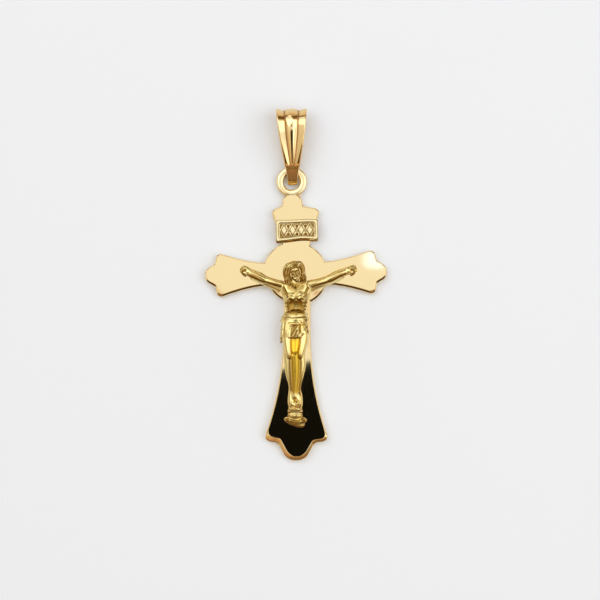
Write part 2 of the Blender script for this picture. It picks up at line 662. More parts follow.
def slab(inset, low, high, edge):
    """The plaque's own outline drawn in, between two heights, with a rounded edge."""
    px, py = PLAQUE_AT

    def field(x, y, z):
        u = (x - px) / PLAQUE_HALF_W
        side = np.abs(x - px) - (PLAQUE_HALF_W - inset)
        low_edge = plaque_low(u) + UNDER_IN - UNDER_OUT * (PLAQUE_TOP - z) / PLAQUE_T
        ends = np.maximum(y - py - plaque_high(u), low_edge - (y - py)) + inset
        return soft_max(soft_max(side, ends, PLAQUE_CORNER), np.maximum(z - high, low - z), edge)

    return (field, (px - PLAQUE_HALF_W, py - PLAQUE_HALF_H - CURL - UNDER_IN, low),
            (px + PLAQUE_HALF_W, py + PLAQUE_HALF_H + HIGH_WAVE, high))


def lozenge(cx):
    """A lozenge on the sunk field, so far along from the plaque's middle."""
    px, py = PLAQUE_AT
    half_w, half_h = LOZENGE_HALF

    def field(x, y, z):
        u, v = np.abs(x - px - cx) / half_w, np.abs(y - py) / half_h
        side = (u + v - 1) * LOZENGE_SIDE + LOZENGE_LEAN * (z - PLAQUE_FLOOR)
        return soft_max(side, z - (PLAQUE_TOP - LOZENGE_TOP), LOZENGE_EDGE)

    return (field, (px + cx - half_w, py - half_h, PLAQUE_FLOOR),
            (px + cx + half_w, py + half_h, PLAQUE_TOP))


def add_plaque():
    px, py = PLAQUE_AT
    clay = Clay(*(np.array((px, py, SEAT_Z)) + PLAQUE_BOX), PLAQUE_STEP)
    clay.add(slab(0, SEAT_Z - PAST, PLAQUE_TOP, PLAQUE_ROUND))
    clay.cut(slab(RIM_W, PLAQUE_FLOOR, PLAQUE_TOP + PAST, FIELD_EDGE), PLAQUE_ROUND)
    for i in range(LOZENGES):
        clay.add(lozenge((i - (LOZENGES - 1) / 2) * LOZENGE_PITCH), LOZENGE_EDGE)
    for i in range(LOZENGES - 1):
        for side in (-1, 1):
            x = px + (i - (LOZENGES - 2) / 2) * LOZENGE_PITCH
            clay.add(ball((x, py + side * PELLET_Y, PLAQUE_FLOOR + PELLET_RISE), PELLET_R), PELLET_BLEND)
    low_y = float(plaque_low(SCROLL_U))
    clay.add(limb([(px + x, py + low_y + y, SEAT_Z + z, r) for x, y, z, r in SCROLL]), SCROLL_BLEND)
    clay.keep_above(SEAT_Z)
    vertices, faces, hollow = skin(clay)
    sunk = np.clip((PLAQUE_TOP - DARK_FROM - vertices[:, 2]) / FIELD_DEPTH, 0, 1) * FIELD_DARK
    make_piece("framed_plaque", vertices, faces, PLAQUE_GOLD, "title_plaque",
               {"hollow": hollow - sunk})


add_plaque()


# The figure's body. Heights here are above the plate's front

BODY_BOX, BODY_STEP = ((-8.0, -21.9, -0.15), (9.3, 1.7, 2.6)), 0.055
TORSO = (
    (0.12, -1.2, 0.95, 1.5, 0.5), (0.16, -1.9, 0.92, 1.9, 0.62), (0.16, -2.6, 0.94, 1.82, 0.74),
    (0.14, -3.2, 0.94, 1.68, 0.84), (0.12, -3.66, 0.9, 1.6, 0.8), (0.1, -4.1, 0.87, 1.54, 0.76),
    (0.08, -4.6, 0.84, 1.46, 0.72), (0.07, -5.2, 0.82, 1.36, 0.7), (0.06, -6.0, 0.8, 1.34, 0.78),
)
BELLY, BELLY_BLEND = ((0.12, -4.78, 1.76), (1.16, 1.16, 0.54)), 0.1  # scooped out below the ribs
CLOTH = (
    (0.03, -5.75, 0.8, 1.32, 0.84), (-0.08, -6.3, 0.86, 1.5, 0.98), (-0.13, -7.0, 0.92, 1.8, 1.06),
    (-0.13, -8.4, 1.02, 1.95, 1.08), (-0.13, -9.1, 1.04, 1.97, 1.02),
)
CLOTH_END, CLOTH_BLEND = 0.12, 0.04
# Limbs: rows of x, y, z and radius, then how softly they join what is there
MIDDLE_X = 0.15
TORSO_PAIRS = (  # given for one side of the middle, and mirrored
    (((0.1, -1.5, 1.38, 0.12), (0.8, -1.32, 1.36, 0.12), (1.6, -1.26, 1.22, 0.14)), 0.2),
    (((2.2, -1.2, 1.14, 0.2), (1.72, -2.06, 1.44, 0.18), (1.34, -2.84, 1.64, 0.18),
      (0.98, -3.4, 1.7, 0.18), (0.4, -3.62, 1.66, 0.16)), 0.08),
    (((0.76, -4.04, 1.38, 0.06), (1.1, -4.1, 1.36, 0.1), (1.5, -4.18, 1.04, 0.12)), 0.05),
    (((0.86, -4.48, 1.3, 0.06), (1.12, -4.56, 1.26, 0.1), (1.42, -4.7, 0.98, 0.11)), 0.05),
    (((0.92, -4.94, 1.26, 0.05), (1.12, -5.04, 1.18, 0.08), (1.34, -5.16, 0.92, 0.1)), 0.05),
    (((1.62, -1.9, 0.95, 0.32), (1.78, -2.4, 0.9, 0.3), (1.64, -3.1, 0.8, 0.26),
      (1.5, -3.7, 0.7, 0.2)), 0.3),
)
CHEST_MUSCLES = (((-0.56, -3.2, 1.46), (0.7, 0.5, 0.4), 16),
                 ((0.84, -3.16, 1.46), (0.72, 0.5, 0.4), -14))
CHEST_BLEND = 0.14
BELLY_RIDGE = (((0.16, -3.8, 1.44, 0.14), (0.12, -4.4, 1.14, 0.12), (0.1, -5.4, 1.12, 0.11)), 0.08)
LINES = (  # grooves in the figure's front: rows of x, y, radius and depth
    ((0.18, -2.7, 0.08, 0.03), (0.17, -3.2, 0.09, 0.08), (0.16, -3.75, 0.11, 0.12)),
    ((-1.06, -3.44, 0.08, 0.04), (-0.7, -3.34, 0.09, 0.12), (-0.3, -3.28, 0.07, 0.05)),
    ((1.28, -3.46, 0.08, 0.04), (0.98, -3.34, 0.09, 0.12), (0.64, -3.28, 0.07, 0.05)),
    ((0.84, -6.06, 0.1, 0.06), (0.2, -6.1, 0.12, 0.1), (-0.5, -6.14, 0.1, 0.05)),
    ((1.44, -7.04, 0.09, 0.06), (0.8, -7.02, 0.1, 0.12), (0.0, -7.06, 0.11, 0.14),
     (-0.9, -6.98, 0.09, 0.08)),
    ((0.4, -7.4, 0.1, 0.05), (0.02, -8.0, 0.16, 0.15), (-0.4, -8.8, 0.18, 0.16)),
    ((0.36, -8.1, 0.08, 0.04), (0.06, -8.85, 0.12, 0.12)),
    ((-0.84, -7.62, 0.09, 0.05), (-0.14, -7.48, 0.1, 0.09)),
    ((0.38, -7.16, 0.08, 0.08), (0.4, -8.5, 0.09, 0.1)),
    ((0.88, -7.12, 0.08, 0.08), (0.92, -8.34, 0.09, 0.1)),
    ((1.34, -6.1, 0.12, 0.08), (1.52, -7.1, 0.13, 0.12), (1.64, -8.2, 0.12, 0.1)),
    ((-0.66, -7.4, 0.12, 0.03), (-0.8, -8.8, 0.14, 0.06)),
    ((-1.62, -6.9, 0.11, 0.05), (-1.76, -8.0, 0.12, 0.08), (-1.86, -9.0, 0.11, 0.06)),
)
LINE_STEPS, LINE_BLEND = 5, 0.06
NECK = (
    (((0.02, -0.7, 1.05, 0.5), (0.12, -1.75, 1.12, 0.6)), 0.3),
    (((-0.42, -0.7, 1.3, 0.13), (0.02, -1.6, 1.5, 0.12)), 0.12),
    (((0.48, -0.7, 1.3, 0.13), (0.26, -1.6, 1.5, 0.12)), 0.12),
)
ARM_LEFT = (
    (((-6.6, 0.34, 0.62, 0.56), (-6.1, 0.1, 0.62, 0.6), (-5.55, -0.16, 0.66, 0.66),
      (-5.0, -0.42, 0.72, 0.68), (-4.5, -0.7, 0.76, 0.62), (-4.0, -0.9, 0.82, 0.54),
      (-3.4, -1.1, 0.92, 0.52), (-2.7, -1.34, 1.0, 0.54), (-1.9, -1.6, 1.02, 0.58)), 0.1),
    (((-5.8, -0.42, 0.44, 0.48), (-5.0, -0.8, 0.46, 0.52), (-4.4, -1.1, 0.46, 0.5),
      (-3.7, -1.42, 0.48, 0.48), (-2.9, -1.76, 0.5, 0.5), (-2.1, -2.1, 0.56, 0.54)), 0.06),
    (((-6.1, 0.16, 1.0, 0.2), (-5.4, -0.14, 1.16, 0.26), (-4.7, -0.52, 1.18, 0.24),
      (-4.1, -0.82, 1.12, 0.2)), 0.12),
    (((-4.2, -0.98, 1.18, 0.14), (-3.4, -1.2, 1.26, 0.2), (-2.6, -1.4, 1.34, 0.22),
      (-1.8, -1.56, 1.36, 0.18)), 0.1),
)
ARM_RIGHT = (
    (((7.6, 0.3, 0.62, 0.54), (7.1, 0.1, 0.62, 0.58), (6.5, -0.14, 0.66, 0.64),
      (5.8, -0.46, 0.72, 0.68), (5.1, -0.82, 0.76, 0.66), (4.5, -1.02, 0.82, 0.58),
      (3.8, -1.22, 0.92, 0.56), (3.0, -1.42, 1.0, 0.56), (2.1, -1.6, 1.02, 0.6)), 0.1),
    (((6.6, -0.46, 0.44, 0.46), (5.8, -0.86, 0.46, 0.52), (4.9, -1.2, 0.46, 0.5),
      (4.0, -1.54, 0.48, 0.48), (3.1, -1.86, 0.5, 0.5), (2.3, -2.16, 0.56, 0.54)), 0.06),
    (((7.0, 0.14, 1.0, 0.2), (6.2, -0.18, 1.16, 0.26), (5.4, -0.6, 1.18, 0.24),
      (4.7, -0.92, 1.12, 0.2)), 0.12),
    (((4.6, -1.1, 1.18, 0.14), (3.8, -1.3, 1.26, 0.2), (2.9, -1.46, 1.34, 0.22),
      (2.1, -1.56, 1.36, 0.18)), 0.1),
)
LEG_LEFT = (
    (((-1.1, -8.3, 1.0, 0.8), (-1.12, -9.4, 1.28, 0.66), (-1.04, -10.5, 1.54, 0.54),
      (-0.94, -11.3, 1.7, 0.46), (-0.92, -11.62, 1.62, 0.44)), 0.16),
    (((-1.26, -8.6, 0.6, 0.62), (-1.22, -10.0, 0.66, 0.52), (-1.18, -11.6, 0.7, 0.5),
      (-1.14, -12.9, 0.66, 0.48), (-1.02, -14.2, 0.6, 0.44), (-0.76, -15.4, 0.58, 0.38),
      (-0.68, -16.4, 0.6, 0.38), (-0.68, -17.2, 0.6, 0.4)), 0.14),
)
LEG_RIGHT = (
    (((1.08, -8.3, 1.0, 0.8), (1.06, -9.4, 1.28, 0.66), (0.84, -10.5, 1.54, 0.56),
      (0.6, -11.3, 1.7, 0.48), (0.56, -11.62, 1.62, 0.46)), 0.16),
    (((1.16, -8.6, 0.6, 0.62), (1.06, -10.0, 0.66, 0.52), (0.8, -11.6, 0.7, 0.5),
      (0.88, -12.9, 0.66, 0.48), (0.62, -14.2, 0.6, 0.44), (0.32, -15.4, 0.58, 0.38),
      (0.22, -16.4, 0.6, 0.38), (0.22, -17.2, 0.6, 0.4)), 0.14),
)
# What lies between the thighs, and the two shins, cast as one form
LEG_MIDDLE = (
    (((-0.06, -8.6, 0.72, 0.86), (-0.1, -9.8, 0.84, 0.84), (-0.16, -11.2, 0.98, 0.8),
      (-0.18, -11.6, 1.04, 0.78)), 0.1),
    (((-0.16, -11.6, 1.3, 0.76), (-0.12, -12.1, 1.24, 0.78), (-0.1, -13.0, 1.14, 0.8),
      (-0.12, -14.2, 1.1, 0.7), (-0.18, -15.4, 1.1, 0.56), (-0.22, -16.4, 1.06, 0.5),
      (-0.22, -17.2, 1.0, 0.5)), 0.1),
)
# The waistband, the folds that run from its knot, and the hems
BAND = (
    (((-1.36, -5.96, 0.6, 0.44), (-0.9, -5.84, 0.98, 0.62), (0.0, -5.78, 1.1, 0.7),
      (0.8, -5.76, 1.02, 0.64), (1.32, -5.84, 0.62, 0.44)), 0.03),
    (((-1.66, -6.66, 0.6, 0.44), (-1.1, -6.54, 1.0, 0.66), (0.0, -6.5, 1.2, 0.8),
      (0.85, -6.46, 1.08, 0.7), (1.46, -6.48, 0.7, 0.44)), 0.03),
    (((-1.66, -6.2, 0.86, 0.24), (-1.8, -6.6, 0.8, 0.22)), 0.1),
)
FOLDS = (
    (((-1.2, -6.96, 1.42, 0.26), (-1.36, -7.9, 1.42, 0.34), (-1.4, -8.9, 1.28, 0.34)), 0.12),
    (((-1.62, -6.9, 0.96, 0.2), (-1.84, -7.9, 0.8, 0.2), (-1.96, -8.8, 0.66, 0.18),
      (-2.04, -9.6, 0.58, 0.13)), 0.08),
    (((-0.6, -7.1, 1.88, 0.12), (-0.2, -7.2, 1.98, 0.12), (0.3, -7.26, 1.98, 0.12)), 0.06),
    (((0.2, -7.5, 1.98, 0.12), (-0.2, -8.1, 1.94, 0.13), (-0.66, -8.8, 1.84, 0.12)), 0.06),
    (((0.34, -7.8, 1.94, 0.09), (0.1, -8.3, 1.92, 0.1), (-0.16, -8.9, 1.84, 0.09)), 0.05),
    (((0.56, -7.1, 1.9, 0.18), (0.6, -7.8, 1.92, 0.2), (0.62, -8.5, 1.86, 0.18)), 0.06),
    (((1.16, -7.04, 1.62, 0.26), (1.24, -7.7, 1.56, 0.32), (1.26, -8.3, 1.48, 0.28)), 0.06),
)
HEMS = (
    (((-2.06, -9.66, 0.6, 0.14), (-1.8, -9.36, 1.1, 0.15), (-1.3, -9.06, 1.62, 0.15),
      (-0.76, -8.92, 1.86, 0.14), (-0.4, -8.94, 1.88, 0.12)), 0.06),
    (((0.52, -8.86, 1.9, 0.13), (0.94, -8.66, 1.84, 0.15), (1.4, -8.54, 1.52, 0.15),
      (1.78, -8.6, 1.0, 0.14)), 0.06),
    (((-0.4, -8.94, 1.86, 0.1), (-0.06, -9.08, 1.8, 0.1), (0.2, -9.06, 1.8, 0.1),
      (0.52, -8.86, 1.88, 0.1)), 0.06),
)
LEFT_FIST, RIGHT_FIST = (-6.88, 0.46, 0.62), (8.0, 0.3, 0.62)
LEFT_FIST_TURN, RIGHT_FIST_TURN = 62, -66
PALM_R, PALM_BLEND, FINGER_BLEND = (0.7, 0.8, 0.66), 0.15, 0.05
# One finger in the fist's own frame, from knuckle to tip, and how the next lies beside it
FINGER = ((0, 0.1, 0.46, 0.15), (0, 0.46, 0.38, 0.18), (0, 0.62, 0.1, 0.18), (0, 0.6, -0.2, 0.16))
FINGER_FOLD = ((0, 0.4, 0.42, 0.17), (0, 0.12, 0.52, 0.15), (0, -0.14, 0.5, 0.12))
FINGERS, FINGER_PITCH, FINGER_ARCH, LONGEST_FINGER = 4, 0.25, 0.12, 1.2
THUMB = ((-0.62, -0.3, 0.2, 0.2), (-0.5, 0.1, 0.46, 0.2), (-0.14, 0.22, 0.6, 0.18),
         (0.12, 0.0, 0.62, 0.16))
# Feet: the lower one, the upper one over it, their toes, and the stud through both
FEET = (
    (((-0.74, -16.8, 0.74, 0.36), (-0.78, -17.3, 0.76, 0.42), (-0.74, -18.1, 0.74, 0.5),
      (-0.66, -18.6, 0.64, 0.48)), 0.16),
    (((0.34, -16.8, 0.84, 0.37), (0.36, -17.3, 0.96, 0.44), (0.32, -18.1, 1.0, 0.52),
      (0.26, -18.6, 0.86, 0.48)), 0.1),
    (((-0.3, -18.4, 0.86, 0.34), (-0.1, -18.5, 0.9, 0.34)), 0.2),
    (((-0.94, -19.34, 0.42, 0.34), (0.5, -19.34, 0.42, 0.34)), 0.12),
    (((-0.98, -19.04, 0.74, 0.2), (-0.5, -19.1, 1.02, 0.23), (0.0, -19.12, 1.08, 0.23),
      (0.52, -19.02, 0.86, 0.2)), 0.05),
)
TOES_AT, TOES, TOE_PITCH, TOE_ARCH, ARCH_TOP = (-1.02, -19.1, 0.98), 9, 0.19, 0.05, 2
TOE_R, TOE_BLEND = (0.09, 0.16, 0.16), 0.04
# Balls cut out or added: their middle and radii, then how softly they join
STUD_HOLE = (((0.04, -17.96, 1.56), 0.26), 0.08)
STUD = (((0.0, -17.98, 1.5), 0.16), 0.03)
BLOCK = (((-0.24, -19.92, 0.36), (1.06, 0.56, 0.44)), 0.06)
BLOCK_DOT = (((-0.34, -19.84, 0.86), 0.15), 0.06)
LEDGE = (
    (((-1.5, -20.46, 0.34, 0.3), (-1.17, -20.62, 0.38, 0.38), (-0.42, -20.8, 0.36, 0.4),
      (0.26, -20.9, 0.36, 0.42), (0.8, -20.72, 0.38, 0.4), (1.12, -20.6, 0.34, 0.28)), 0.1),
    (((-0.99, -20.92, 0.26, 0.26), (-0.16, -21.16, 0.28, 0.32), (0.58, -21.34, 0.26, 0.3),
      (0.86, -21.26, 0.24, 0.24)), 0.1),
    (((-1.44, -20.4, 0.62, 0.2), (-1.24, -20.44, 0.66, 0.18)), 0.1),
    (((0.82, -20.44, 0.68, 0.26), (1.0, -20.56, 0.64, 0.22)), 0.1),
)
LEDGE_CUT = (((-1.3, -20.86, 0.66, 0.06), (-0.3, -21.02, 0.74, 0.07), (0.86, -21.12, 0.66, 0.06)), 0.08)
# Darker places: paths of x, y and half-width, and how dark
TARNISH = (
    (((-0.55, -1.85, 0.66), (0.15, -2.15, 0.76), (0.85, -1.85, 0.66)), 0.3),
    (((-0.7, -4.2, 0.55), (-0.6, -5.3, 0.5)), 0.3),
    (((0.98, -4.2, 0.55), (0.84, -5.3, 0.5)), 0.3),
    (((0.15, -4.0, 0.56), (0.12, -5.3, 0.56)), 0.25),
    (((-0.1, -7.6, 0.44), (-0.16, -8.8, 0.66)), 0.25),
    (((-1.9, -7.4, 0.2), (-2.0, -9.2, 0.2)), 0.08),
    (((0.6, -7.3, 0.24), (0.6, -8.4, 0.24)), 0.08),
    (((-1.2, -7.2, 0.4), (-1.3, -8.8, 0.4)), 0.05),
    (((1.24, -7.2, 0.3), (1.28, -8.4, 0.3)), 0.06),
    (((-1.1, -6.1, 0.4), (1.1, -6.04, 0.4)), 0.09),
    (((-0.98, -12.0, 0.14), (-0.92, -14.0, 0.16), (-0.74, -16.4, 0.14)), 0.3),
    (((0.74, -12.0, 0.14), (0.72, -14.0, 0.16), (0.42, -16.4, 0.14)), 0.3),
    (((-0.12, -11.7, 0.66), (-0.14, -14.2, 0.6), (-0.2, -16.4, 0.42)), 0.13),
    (((-0.9, -19.9, 0.45), (0.5, -19.9, 0.45)), 0.14),
    (((-1.2, -20.9, 0.52), (0.8, -21.0, 0.52)), 0.2),
    (((-6.6, -0.3, 0.16), (-5.96, -0.42, 0.18), (-4.85, -1.02, 0.2), (-3.45, -1.42, 0.2),
      (-2.06, -1.8, 0.22)), 0.28),
    (((7.07, -0.27, 0.16), (6.08, -0.67, 0.18), (4.95, -1.2, 0.2), (3.83, -1.6, 0.2),
      (2.5, -2.02, 0.22)), 0.28),
    (((-1.6, -2.1, 0.14), (-1.3, -3.2, 0.16), (-1.46, -4.6, 0.14)), 0.1),
    (((1.84, -2.1, 0.16), (1.6, -3.2, 0.16), (1.54, -5.2, 0.16)), 0.24),
    (((1.36, -6.1, 0.14), (1.6, -7.1, 0.14), (1.76, -8.4, 0.12)), 0.22),
)
# The deep yellow between the thighs and down the shins: its ends, its middle and half-width
WARM_FROM, WARM_TO, WARM_FADE = -17.0, -8.8, 0.5
WARM_X, WARM_HALF, WARM_SOFT = -0.04, 0.9, 0.4


def on_side(rows, side, middle=0):
    """Rows given for the right of a middle, put on one of its sides."""
    return [(middle + side * x, *rest) for x, *rest in rows]


def in_frame(rows, at, turn, side=1):
    """Rows given in a small frame, turned in the plate's plane and moved to its place."""
    c, s = math.cos(math.radians(turn)), math.sin(math.radians(turn))
    return [(at[0] + side * x * c - y * s, at[1] + side * x * s + y * c, at[2] + z, *rest)
            for x, y, z, *rest in rows]


def add_fist(clay, at, turn, side):
    clay.add(ball(at, PALM_R, turn), PALM_BLEND)
    for i in range(FINGERS):
        across = (i - (FINGERS - 1) / 2) * FINGER_PITCH
        back = -FINGER_ARCH * abs(i - LONGEST_FINGER)
        for finger in (FINGER, FINGER_FOLD):
            rows = [(across, y + back, z, r) for x, y, z, r in finger]
            clay.add(limb(in_frame(rows, at, turn, side)), FINGER_BLEND)
    clay.add(limb(in_frame(THUMB, at, turn, side)), FINGER_BLEND)


def beside(x, y, path):
    """How far each place is from a path of x, y and half-width, in half-widths."""
    nearest = np.full(len(x), FAR)
    for (x0, y0, r0), (x1, y1, r1) in zip(path, path[1:]):
        dx, dy = x1 - x0, y1 - y0
        share = np.clip(((x - x0) * dx + (y - y0) * dy) / (dx ** 2 + dy ** 2), 0, 1)
        away = np.hypot(x - x0 - share * dx, y - y0 - share * dy)
        nearest = np.minimum(nearest, away / (r0 + share * (r1 - r0)))
    return nearest


def tarnished(hollow, x, y):
    """How hollow the body reads once its darker places are counted in."""
    hollow = np.minimum(hollow, 0)
    for path, amount in TARNISH:
        hollow = hollow - amount * np.exp(-beside(x, y, path) ** 4)
    return hollow


def warmth(x, y):
    return (np.clip((y - WARM_FROM) / WARM_FADE, 0, 1) * np.clip((WARM_TO - y) / WARM_FADE, 0, 1)
            * np.clip((WARM_HALF - np.abs(x - WARM_X)) / WARM_SOFT, 0, 1))


def add_body():
    clay = Clay(*BODY_BOX, BODY_STEP)
    clay.add(trunk(TORSO))
    clay.cut(ball(*BELLY), BELLY_BLEND)
    for muscle in CHEST_MUSCLES:
        clay.add(ball(*muscle), CHEST_BLEND)
    for rows, blend in TORSO_PAIRS:
        for side in (-1, 1):
            clay.add(limb(on_side(rows, side, MIDDLE_X)), blend)
    clay.add_limbs((BELLY_RIDGE, *NECK, *ARM_LEFT, *ARM_RIGHT, *LEG_LEFT, *LEG_RIGHT, *LEG_MIDDLE))
    clay.add(trunk(CLOTH, CLOTH_END), CLOTH_BLEND)
    clay.add_limbs(BAND + FOLDS + HEMS)
    for rows in LINES:
        clay.cut(limb([clay.on_top(row) for row in smooth_rows(rows, LINE_STEPS)], 1), LINE_BLEND)
    add_fist(clay, LEFT_FIST, LEFT_FIST_TURN, 1)
    add_fist(clay, RIGHT_FIST, RIGHT_FIST_TURN, -1)
    clay.add_limbs(FEET)
    for i in range(TOES):
        x, y, z = TOES_AT
        arch = TOE_ARCH * (ARCH_TOP - abs(i - ARCH_TOP))
        clay.add(ball((x + i * TOE_PITCH, y - arch, z), TOE_R), TOE_BLEND)
    clay.cut(ball(*STUD_HOLE[0]), STUD_HOLE[1])
    for shape, blend in (STUD, BLOCK):
        clay.add(ball(*shape), blend)
    clay.add_limbs(LEDGE)
    clay.cut(limb(LEDGE_CUT[0]), LEDGE_CUT[1])
    clay.cut(ball(*BLOCK_DOT[0]), BLOCK_DOT[1])
    clay.soften()
    clay.keep_above(0)
    vertices, faces, hollow = skin(clay)
    x, y = vertices[:, 0], vertices[:, 1]
    make_piece("cast_body", vertices + (0, 0, SEAT_Z), faces, CAST, "corpus",
               {"hollow": tarnished(hollow, x, y), "warm": warmth(x, y)})


add_body()


# The head, modelled upright about its own middle, then bowed, turned and leaned

HEAD_BOX, HEAD_STEP = ((-1.85, -2.6, -1.5), (1.85, 1.85, 1.5)), 0.034
# Where the head's middle lies, and by how many degrees it is bowed, turned and leaned
HEAD_AT, HEAD_TURN = (0.0, 0.16, 1.3), (14, 14, 9)
# Balls: their middle and radii, and the sides that they are on
ONE, BOTH = (1,), (-1, 1)
SKULL = (((0, 0.42, -0.02), (0.9, 1.06, 0.96), ONE), ((0, -0.5, 0.26), (0.64, 0.8, 0.62), ONE),
         ((0.48, -0.06, 0.62), (0.24, 0.24, 0.22), BOTH))
SOCKETS = (((0.33, 0.12, 1.06), (0.22, 0.15, 0.2), BOTH),)
LIDS = (((0.33, 0.09, 0.82), (0.17, 0.11, 0.14), BOTH),)
SKULL_BLEND, SOCKET_BLEND, LID_BLEND = 0.22, 0.14, 0.04
# The face's limbs: their rows, how softly they join, and the sides that they are on
FACE = (
    (((0.62, 0.26, 0.74, 0.09), (0.32, 0.34, 0.92, 0.09), (0.08, 0.28, 0.98, 0.08)), 0.1, BOTH),
    (((0, 0.34, 0.94, 0.1), (0, 0.06, 1.0, 0.09), (0, -0.24, 1.12, 0.11), (0, -0.3, 1.1, 0.12)), 0.08, ONE),
    (((-0.12, -0.32, 0.98, 0.07), (0.12, -0.32, 0.98, 0.07)), 0.05, ONE),
    (((0.03, -0.47, 0.98, 0.07), (0.24, -0.56, 0.92, 0.08), (0.42, -0.74, 0.76, 0.05)), 0.06, BOTH),
    (((-0.15, -0.66, 0.86, 0.05), (0, -0.68, 0.9, 0.06), (0.15, -0.66, 0.86, 0.05)), 0.04, ONE),
    (((-0.44, -0.84, 0.56, 0.18), (0, -1.02, 0.72, 0.26), (0.44, -0.84, 0.56, 0.18)), 0.12, ONE),
)
MOUTH, MOUTH_BLEND = ((-0.2, -0.62, 0.97, 0.025), (0, -0.61, 1.01, 0.025), (0.2, -0.62, 0.97, 0.025)), 0.05
# The beard's tufts: start x and y, end x and y, all from the jaw downwards
TUFTS = ((-0.6, -0.5, -0.5, -1.16), (-0.46, -0.72, -0.36, -1.36), (-0.3, -0.84, -0.22, -1.5),
         (-0.15, -0.9, -0.12, -1.62), (0.0, -0.92, -0.03, -1.66), (0.15, -0.9, 0.08, -1.62),
         (0.3, -0.84, 0.2, -1.5), (0.46, -0.72, 0.36, -1.36), (0.6, -0.5, 0.5, -1.16))
# A tuft's radius at its root, middle and tip, its height there, and how the heights fall
# to the sides: the root's by x, the others' by the square of x
TUFT_R, TUFT_Z, TUFT_FALL = (0.1, 0.1, 0.05), (0.72, 0.86, 0.72), (0.1, 0.5, 0.4)
TUFT_WAVE, TUFT_BLEND = 0.04, 0.05
SCALP, SCALP_BLEND = ((0, 0.5, -0.24), (1.08, 1.04, 0.92)), 0.05
# Hair: locks on one side, from the parting down to the shoulder, as rows of x, y, z and
# radius. The strands of a lock lie side by side and wave.
LOCKS = (
    ((0.08, 1.22, 0.7, 0.2), (0.5, 1.02, 0.74, 0.24), (0.8, 0.55, 0.58, 0.27),
     (0.88, 0.0, 0.48, 0.28), (0.86, -0.6, 0.44, 0.28), (0.96, -1.15, 0.34, 0.26),
     (0.9, -1.65, 0.3, 0.22), (0.98, -2.1, 0.24, 0.14)),
    ((0.1, 1.34, 0.4, 0.22), (0.68, 1.14, 0.42, 0.28), (1.04, 0.62, 0.3, 0.3),
     (1.14, 0.02, 0.22, 0.31), (1.12, -0.58, 0.18, 0.31), (1.22, -1.15, 0.12, 0.29),
     (1.12, -1.72, 0.08, 0.25), (1.18, -2.2, 0.02, 0.15)),
    ((0.1, 1.38, 0.05, 0.24), (0.78, 1.16, 0.05, 0.3), (1.16, 0.52, 0.0, 0.32), (1.26, -0.2, -0.08, 0.32),
     (1.18, -0.9, -0.14, 0.3), (1.26, -1.5, -0.2, 0.27), (1.18, -2.1, -0.26, 0.18)),
)
# A strand's share of its lock's radius; how far apart strands lie and how the outer ones
# sink; how they wave, and how far each one's wave is ahead of its neighbour's
STRANDS, STRAND_R, STRAND_BLEND = 3, 0.52, 0.03
APART, APART_SINK = 0.72, 0.5
LOCK_WAVE, WAVE_TURN, WAVE_AHEAD, RIGHT_AHEAD, WAVE_ALONG, WAVE_UP = 0.07, 1.9, 2.1, 1.0, 0.3, 0.6
FACE_SIZE, HEAD_TARNISH = 0.86, 0.1
# The wreath: two strands coiled round an oval that lies across the head
WREATH_TURNS, WREATH_POINTS = 9, 90
WREATH_AT, WREATH_HALF, WREATH_COIL = (0, 0.86, -0.1), (1.12, 1.06), 0.09
WREATH_R, WREATH_BLEND = 0.08, 0.02
# Thorns: their angle round the wreath and how far they rise, and their ends' half-sizes of
# the oval, share of the rise, and radius
THORNS = ((200, 0.5), (235, -0.4), (262, 0.6), (290, -0.5), (322, 0.4), (345, -0.3))
THORN_ENDS, THORN_BLEND = ((1.14, 1.08, 0, 0.07), (1.26, 1.2, 0.25, 0.02)), 0.03


def strand_rows(lock, side, k):
    """One of the strands that make up a lock, waving beside its fellows."""
    phase = WAVE_AHEAD * k + (RIGHT_AHEAD if side > 0 else 0)
    rows = []
    for i, (x, y, z, r) in enumerate(lock):
        share = i / (len(lock) - 1)
        wave = LOCK_WAVE * math.sin(WAVE_TURN * i + phase)
        apart = (k - (STRANDS - 1) / 2) * r * APART
        rows.append((side * (x + apart + wave * share), y + WAVE_ALONG * wave,
                     z - APART_SINK * abs(apart) + WAVE_UP * wave, STRAND_R * r))
    return rows


def tuft_rows(x0, y0, x1, y1):
    """A tuft of the beard, from its root over its middle to its tip."""
    falls = [fall * amount for fall, amount in zip(TUFT_FALL, (abs(x0), x0 ** 2, x0 ** 2))]
    places = ((x0, y0), ((x0 + x1) / 2 + TUFT_WAVE, (y0 + y1) / 2), (x1 - TUFT_WAVE, y1))
    return [(x, y, z - fall, r) for (x, y), z, fall, r in zip(places, TUFT_Z, falls, TUFT_R)]


def wreath_rows(phase):
    a = 2 * math.pi * np.arange(WREATH_POINTS + 1) / WREATH_POINTS
    coil = WREATH_TURNS * a + phase
    half = 1 + WREATH_COIL * np.cos(coil)
    x, z = WREATH_HALF[0] * half * np.cos(a), WREATH_HALF[1] * half * np.sin(a)
    rows = np.stack([x, WREATH_COIL * np.sin(coil), z], 1) + WREATH_AT
    return np.column_stack([rows, np.full(len(a), WREATH_R)])


def thorn_rows(angle, rise):
    x, z = math.cos(math.radians(-angle)), math.sin(math.radians(-angle))
    return [(half_x * x, WREATH_AT[1] + share * rise, half_z * z + WREATH_AT[2], r)
            for half_x, half_z, share, r in THORN_ENDS]


def head_matrix():
    bow, turn, lean = (math.radians(v) for v in HEAD_TURN)
    cx, sx, cy, sy, cz, sz = (f(a) for a in (bow, turn, lean) for f in (math.cos, math.sin))
    about_x = np.array([[1, 0, 0], [0, cx, -sx], [0, sx, cx]])
    about_y = np.array([[cy, 0, sy], [0, 1, 0], [-sy, 0, cy]])
    about_z = np.array([[cz, -sz, 0], [sz, cz, 0], [0, 0, 1]])
    return about_z @ about_y @ about_x


